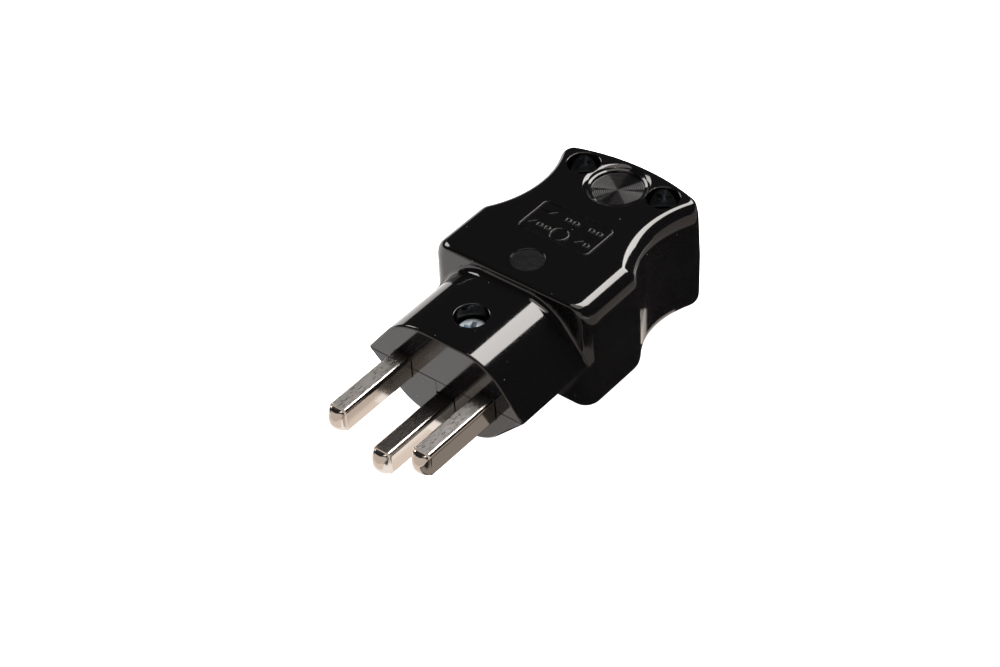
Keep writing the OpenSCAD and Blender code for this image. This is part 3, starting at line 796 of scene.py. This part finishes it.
def randomWhole(tree, seed, most):  # from 0 to most, one for each point
    made = node(tree, "FunctionNodeRandomValue", data_type="INT")
    made.inputs[4].default_value, made.inputs[5].default_value = 0, most
    tree.links.new(seed, made.inputs["Seed"])
    return made.outputs[2]


def panelTree():
    number, whole = "NodeSocketFloat", "NodeSocketInt"
    tree, given, result = newTree("rating_panel", {
        "Length": number, "Width": number, "Corner": number, "Line": number, "Height": number,
        "Rows": whole, "Marks": whole, "Row Gap": number, "Mark Gap": number, "Mark High": number,
        "Mark Wide": number, "Ring": number, "Big Ring": number, "Big Ring Place": "NodeSocketVector",
        "Seed": whole, "Material": "NodeSocketMaterial"})
    link = tree.links.new
    size = given.outputs
    outline = node(tree, "GeometryNodeCurvePrimitiveQuadrilateral")
    link(size["Length"], outline.inputs["Width"])
    link(size["Width"], outline.inputs["Height"])
    rounded = node(tree, "GeometryNodeFilletCurve", mode="POLY", Count=10)
    link(outline.outputs["Curve"], rounded.inputs["Curve"])
    link(size["Corner"], rounded.inputs["Radius"])
    ridge = node(tree, "GeometryNodeCurvePrimitiveCircle", Resolution=12)
    lineHalf = maths(tree, "MULTIPLY", size["Line"], 0.5)
    link(lineHalf, ridge.inputs["Radius"])
    frameLine = node(tree, "GeometryNodeCurveToMesh", **{"Fill Caps": True})
    link(rounded.outputs["Curve"], frameLine.inputs["Curve"])
    link(ridge.outputs["Curve"], frameLine.inputs["Profile Curve"])
    # the marks: bars and rings on a grid, picked by a fixed seed
    bar = node(tree, "GeometryNodeCurvePrimitiveLine", mode="DIRECTION")
    bar.inputs["Direction"].default_value = (1, 0, 0)
    link(size["Mark High"], bar.inputs["Length"])
    centred = node(tree, "GeometryNodeTransform")
    back = node(tree, "ShaderNodeCombineXYZ")
    link(maths(tree, "MULTIPLY", size["Mark High"], -0.5), back.inputs["X"])
    link(back.outputs[0], centred.inputs["Translation"])
    link(bar.outputs["Curve"], centred.inputs["Geometry"])
    circle = node(tree, "GeometryNodeCurvePrimitiveCircle", Resolution=40)
    link(size["Ring"], circle.inputs["Radius"])
    stroke = node(tree, "GeometryNodeCurvePrimitiveCircle", Resolution=10)
    link(maths(tree, "MULTIPLY", size["Mark Wide"], 0.5), stroke.inputs["Radius"])
    shapes = node(tree, "GeometryNodeGeometryToInstance")
    for curve in (centred.outputs["Geometry"], circle.outputs["Curve"]):
        solid = node(tree, "GeometryNodeCurveToMesh", **{"Fill Caps": True})
        link(curve, solid.inputs["Curve"])
        link(stroke.outputs["Curve"], solid.inputs["Profile Curve"])
        link(solid.outputs["Mesh"], shapes.inputs["Geometry"])
    grid = node(tree, "GeometryNodeMeshGrid")
    for gap, count, axis in (("Row Gap", "Rows", "X"), ("Mark Gap", "Marks", "Y")):
        gaps = maths(tree, "SUBTRACT", size[count], 1)
        link(maths(tree, "MULTIPLY", gaps, size[gap]), grid.inputs["Size " + axis])
        link(size[count], grid.inputs["Vertices " + axis])
    placed = node(tree, "GeometryNodeInstanceOnPoints", **{"Pick Instance": True})
    link(grid.outputs["Mesh"], placed.inputs["Points"])
    link(shapes.outputs["Instances"], placed.inputs["Instance"])
    link(randomWhole(tree, size["Seed"], 1), placed.inputs["Instance Index"])
    # each mark turned by its own eighths of a turn, and none where the big ring stands
    twist = node(tree, "ShaderNodeCombineXYZ")
    link(maths(tree, "MULTIPLY", randomWhole(tree, size["Seed"], 3), math.pi / 4), twist.inputs["Z"])
    link(twist.outputs[0], placed.inputs["Rotation"])
    apart = node(tree, "ShaderNodeVectorMath", operation="DISTANCE")
    link(node(tree, "GeometryNodeInputPosition").outputs[0], apart.inputs[0])
    link(size["Big Ring Place"], apart.inputs[1])
    clear = maths(tree, "SUBTRACT", apart.outputs["Value"], size["Big Ring"])
    link(maths(tree, "GREATER_THAN", clear, 1.0), placed.inputs["Selection"])
    bigCircle = node(tree, "GeometryNodeCurvePrimitiveCircle", Resolution=64)
    link(size["Big Ring"], bigCircle.inputs["Radius"])
    bigRing = node(tree, "GeometryNodeCurveToMesh")
    link(bigCircle.outputs["Curve"], bigRing.inputs["Curve"])
    link(stroke.outputs["Curve"], bigRing.inputs["Profile Curve"])
    bigPlaced = node(tree, "GeometryNodeTransform")
    link(bigRing.outputs["Mesh"], bigPlaced.inputs["Geometry"])
    link(size["Big Ring Place"], bigPlaced.inputs["Translation"])
    joined = node(tree, "GeometryNodeJoinGeometry")
    link(bigPlaced.outputs["Geometry"], joined.inputs["Geometry"])
    link(frameLine.outputs["Mesh"], joined.inputs["Geometry"])
    link(placed.outputs["Instances"], joined.inputs["Geometry"])
    flat = node(tree, "GeometryNodeTransform")  # the round strokes are pressed down to low ridges
    lower = node(tree, "ShaderNodeCombineXYZ", X=1.0, Y=1.0)
    link(maths(tree, "DIVIDE", size["Height"], lineHalf), lower.inputs["Z"])
    link(lower.outputs[0], flat.inputs["Scale"])
    link(joined.outputs["Geometry"], flat.inputs["Geometry"])
    treeEnd(tree, given, result, flat.outputs["Geometry"])
    return tree


ratingPanel = runTree("rating_panel", panelTree(), {
    "Length": panel["length"], "Width": panel["width"], "Corner": panel["corner"], "Line": panel["line"],
    "Height": panel["height"], "Rows": panel["rows"], "Marks": panel["marks"], "Row Gap": panel["rowGap"],
    "Mark Gap": panel["markGap"], "Mark High": panel["markHigh"], "Mark Wide": panel["markWide"],
    "Ring": panel["ring"], "Big Ring": panel["bigRing"],
    "Big Ring Place": (panel["bigRingX"], panel["bigRingY"], 0), "Seed": panel["seed"], "Material": plastic})
ratingPanel.data.transform(Matrix.Translation((panel["middleX"], 0, plug["halfThickness"])))
finishPiece(ratingPanel, plastic, 60)
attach(ratingPanel, "root")
print("rating panel", len(ratingPanel.data.polygons), "faces")


# Carried-over CAD nodes get the finer finishes on their own slots
finishes = {
    "line_terminal_screw": screwZinc, "neutral_terminal_screw": screwZinc, "earth_terminal_screw": screwZinc,
    "line_wire_plate": bareBrass, "neutral_wire_plate": bareBrass, "earth_wire_plate": bareBrass,
    "cord_clamp": clampPlastic, "cord_clamp_screw_left": screwZinc, "cord_clamp_screw_right": screwZinc,
    "clamp_insert_left": bareBrass, "clamp_insert_right": bareBrass,
    "nose_screw": screwZinc, "rear_screw_left": screwZinc, "rear_screw_right": screwZinc,
    "rear_nut_left": nutZinc, "rear_nut_right": nutZinc,
}
for name, material in finishes.items():
    for slot in nodes[name].material_slots:
        slot.material = material


# Stage: a pale floor and surround, soft lights, and glowing cards that only the plug's gloss sees; they paint the
# plug's shadow on the table, lit patches of table and highlights into its reflections

stage = {
    "floorColour": (0.80, 0.80, 0.80), "floorGlow": 1.45, "floorSize": 6.0,
    "floorGap": 0.03,  # mm left under the plug, so that its underside isn't in the floor
    "floorInGloss": (1.5, 1.46, 1.43),  # how bright the floor looks in the plug's gloss
    "surround": (0.97, 0.97, 0.98), "world": 0.02,
    # cards on the table round the plug, in mm: x from, x to, y from, y to, brightness; the last has a back. They
    # set how bright the table looks in the plug's gloss: the dark ones are painted shadow of the plug, under it and
    # beside its +Y side, the others painted reflections of lit table
    "shadowAndLightCards": [
        (-60, -1.5, -15, 10, 0.12), (-130, 40, 10, 46, 0.02), (-8, 32, 14, 23.5, 0.38), (24, 46, -60, 13, 1.15),
        (-50, -40, 9.5, 14.7, 0.85), (1, 13, -2, 8, 1.2), (-320, 60, 46, 300, 0.62)],
    "cardLift": 0.05, "cardStep": 0.01, "cardBackHigh": 60, "cardTint": (1.0, 0.90, 0.82),
    # a card that stands up, in mm: middle x, middle y, azimuth it faces, width, low edge, high edge, brightness. It
    # glows only in the plug's gloss and lights nothing: a painted reflection of a bright area in front of the plug
    "standing": (48, 6, 180, 120, -12, 32, 0.85),
    # a panel farther off: azimuth, height angle, width and height in degrees, metres away, brightness. It glows
    # only in the plug's gloss and lights nothing: painted highlights on the grip's front corner and the dish floor
    "panel": (-104, 33, 22, 20, 1.3, 7.0), "panelTint": (1.0, 0.97, 0.94),
}
lights = {  # place, aim, width and height in m, power, colour, seen in the gloss
    "back_softbox": ((-0.57, 0.0, 0.75), (-0.03, 0, 0), (0.46, 0.66), 10.5, (1.0, 0.965, 0.93), True),
    "overhead": ((0.0, 0.0, 1.6), (0, 0, 0), (1.1, 1.1), 7.0, (1.0, 0.93, 0.87), True),
    "fill": ((0.25, -0.35, 1.6), (0, 0, 0), (1.6, 1.6), 24, (1, 1, 1), False),
}


def stagePlane(name, corners, material):
    item = newObject(name, bpy.data.meshes.new(name))
    item.data.from_pydata([tuple(c) for c in corners], [], [[0, 1, 2, 3]])
    item.data.materials.append(material)
    item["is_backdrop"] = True
    return item


def glow(name, colour, strength):
    material = bpy.data.materials.new(name)
    material.use_nodes = True
    tree = material.node_tree
    tree.nodes.remove(tree.nodes["Principled BSDF"])
    light = node(tree, "ShaderNodeEmission", Strength=strength)
    light.inputs["Color"].default_value = (*colour, 1)
    tree.links.new(light.outputs[0], tree.nodes["Material Output"].inputs["Surface"])
    return material


def glossPlane(name, corners, colour, strength):  # a glowing plane that only the plug's gloss sees
    item = stagePlane(name, corners, glow(name + "_glow", colour, strength))
    item.visible_camera = item.visible_diffuse = item.visible_shadow = False


def areaLight(name, at, toward, size, power, colour, glossy):
    data = bpy.data.lights.new(name, "AREA")
    data.shape = "RECTANGLE"
    data.size, data.size_y = size
    data.energy = power
    data.color = colour
    item = newObject(name, data)
    item.location = at
    item.rotation_mode = "QUATERNION"
    item.rotation_quaternion = (Vector(toward) - Vector(at)).to_track_quat("-Z", "Y")
    item.visible_camera = False
    item.visible_glossy = glossy


floorPaper, _, floorShader = newMaterial("floor_paper")
floorShader.inputs["Base Color"].default_value = (*stage["floorColour"], 1)
floorShader.inputs["Roughness"].default_value = 1.0
floorShader.inputs["Specular IOR Level"].default_value = 0.0
floorShader.inputs["Emission Color"].default_value = (1, 1, 1, 1)
floorShader.inputs["Emission Strength"].default_value = stage["floorGlow"]
floorZ = cadLow.z - stage["floorGap"] * mm
far = stage["floorSize"] / 2
square = [(x, y, floorZ) for x, y in ((-far, -far), (far, -far), (far, far), (-far, far))]
floor = stagePlane("floor", square, floorPaper)
floor.visible_glossy = False
glossPlane("gloss_floor", square, stage["floorInGloss"], 1.0)

surround = revolve("surround", [(2900, -500), (2900, 900), (2300, 2000), (1200, 2700), (10, 2900)], 48)
surround.data.transform(Matrix.Scale(mm, 4))
surround.data.flip_normals()
surround.data.materials.append(glow("surround_glow", stage["surround"], 1.0))
surround.visible_glossy = surround.visible_diffuse = surround.visible_shadow = False
surround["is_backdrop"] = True

cardZ = floorZ / mm + stage["cardLift"]
# painted shadow and light: dark cards stand for the plug's shadow on the table, lighter ones for lit table, seen
# only in its gloss
for i, (x1, x2, y1, y2, level) in enumerate(stage["shadowAndLightCards"]):
    z = cardZ + stage["cardStep"] * i
    corners = [(x * mm, y * mm, z * mm) for x, y in ((x1, y1), (x2, y1), (x2, y2), (x1, y2))]
    glossPlane("card_%d" % (i + 1), corners, stage["cardTint"], level)
# the last card's back wall: a painted reflection of dimmer table farther off
backHigh = stage["cardBackHigh"]
corners = [(x * mm, y2 * mm, z * mm) for x, z in ((x1, cardZ), (x2, cardZ), (x2, backHigh), (x1, backHigh))]
glossPlane("card_back", corners, stage["cardTint"], level)

# painted reflection: a standing card that glows only in the plug's gloss
x, y, azimuth, wide, lowEdge, highEdge, level = stage["standing"]
across = Vector((-math.sin(math.radians(azimuth)), math.cos(math.radians(azimuth)))) * wide / 2
a, b = Vector((x, y)) - across, Vector((x, y)) + across
corners = [(end.x * mm, end.y * mm, z * mm)
           for end, z in ((a, lowEdge), (b, lowEdge), (b, highEdge), (a, highEdge))]
glossPlane("card_standing_1", corners, stage["cardTint"], level)

# painted highlights: a far panel that glows only in the plug's gloss
azimuth, rise, wide, high, distance, level = stage["panel"]
away = Vector((math.cos(math.radians(azimuth)) * math.cos(math.radians(rise)),
               math.sin(math.radians(azimuth)) * math.cos(math.radians(rise)), math.sin(math.radians(rise))))
across = away.cross(Vector((0, 0, 1))).normalized()
along = across.cross(away)
w, h = (distance * math.tan(math.radians(v / 2)) for v in (wide, high))
corners = [away * distance + across * x * w + along * y * h for x, y in ((-1, -1), (1, -1), (1, 1), (-1, 1))]
glossPlane("highlight_panel_1", corners, stage["panelTint"], level)

for name, settings in lights.items():
    areaLight(name, *settings)

world = bpy.data.worlds.new("studio")
world.use_nodes = True
world.node_tree.nodes["Background"].inputs["Color"].default_value = (stage["world"],) * 3 + (1,)
bpy.context.scene.world = world
bpy.context.scene.view_settings.view_transform = "Standard"

# Camera, worked out from the photograph's perspective
view = {
    "place": (0.25598, 0.24104, 0.31518),
    "right": (-0.62798, 0.77643, -0.05293),
    "down": (0.53474, 0.38108, -0.75421),
    "focal": 2700.0, "imageWidth": 1000.0,  # both in pixels
    "sensorWidth": 36, "nearest": 0.01,
}
camera = newObject("camera", bpy.data.cameras.new("camera"))
right = Vector(view["right"]).normalized()
up = -Vector(view["down"])
up = (up - up.dot(right) * right).normalized()
back = right.cross(up)
rows = [(*row, place) for row, place in zip(zip(right, up, back), view["place"])]
camera.matrix_world = Matrix(rows + [(0, 0, 0, 1)])
camera.data.sensor_width = view["sensorWidth"]
camera.data.lens = view["sensorWidth"] * view["focal"] / view["imageWidth"]
camera.data.clip_start = view["nearest"]
bpy.context.scene.camera = camera
print("stage and camera ready")

low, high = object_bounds()
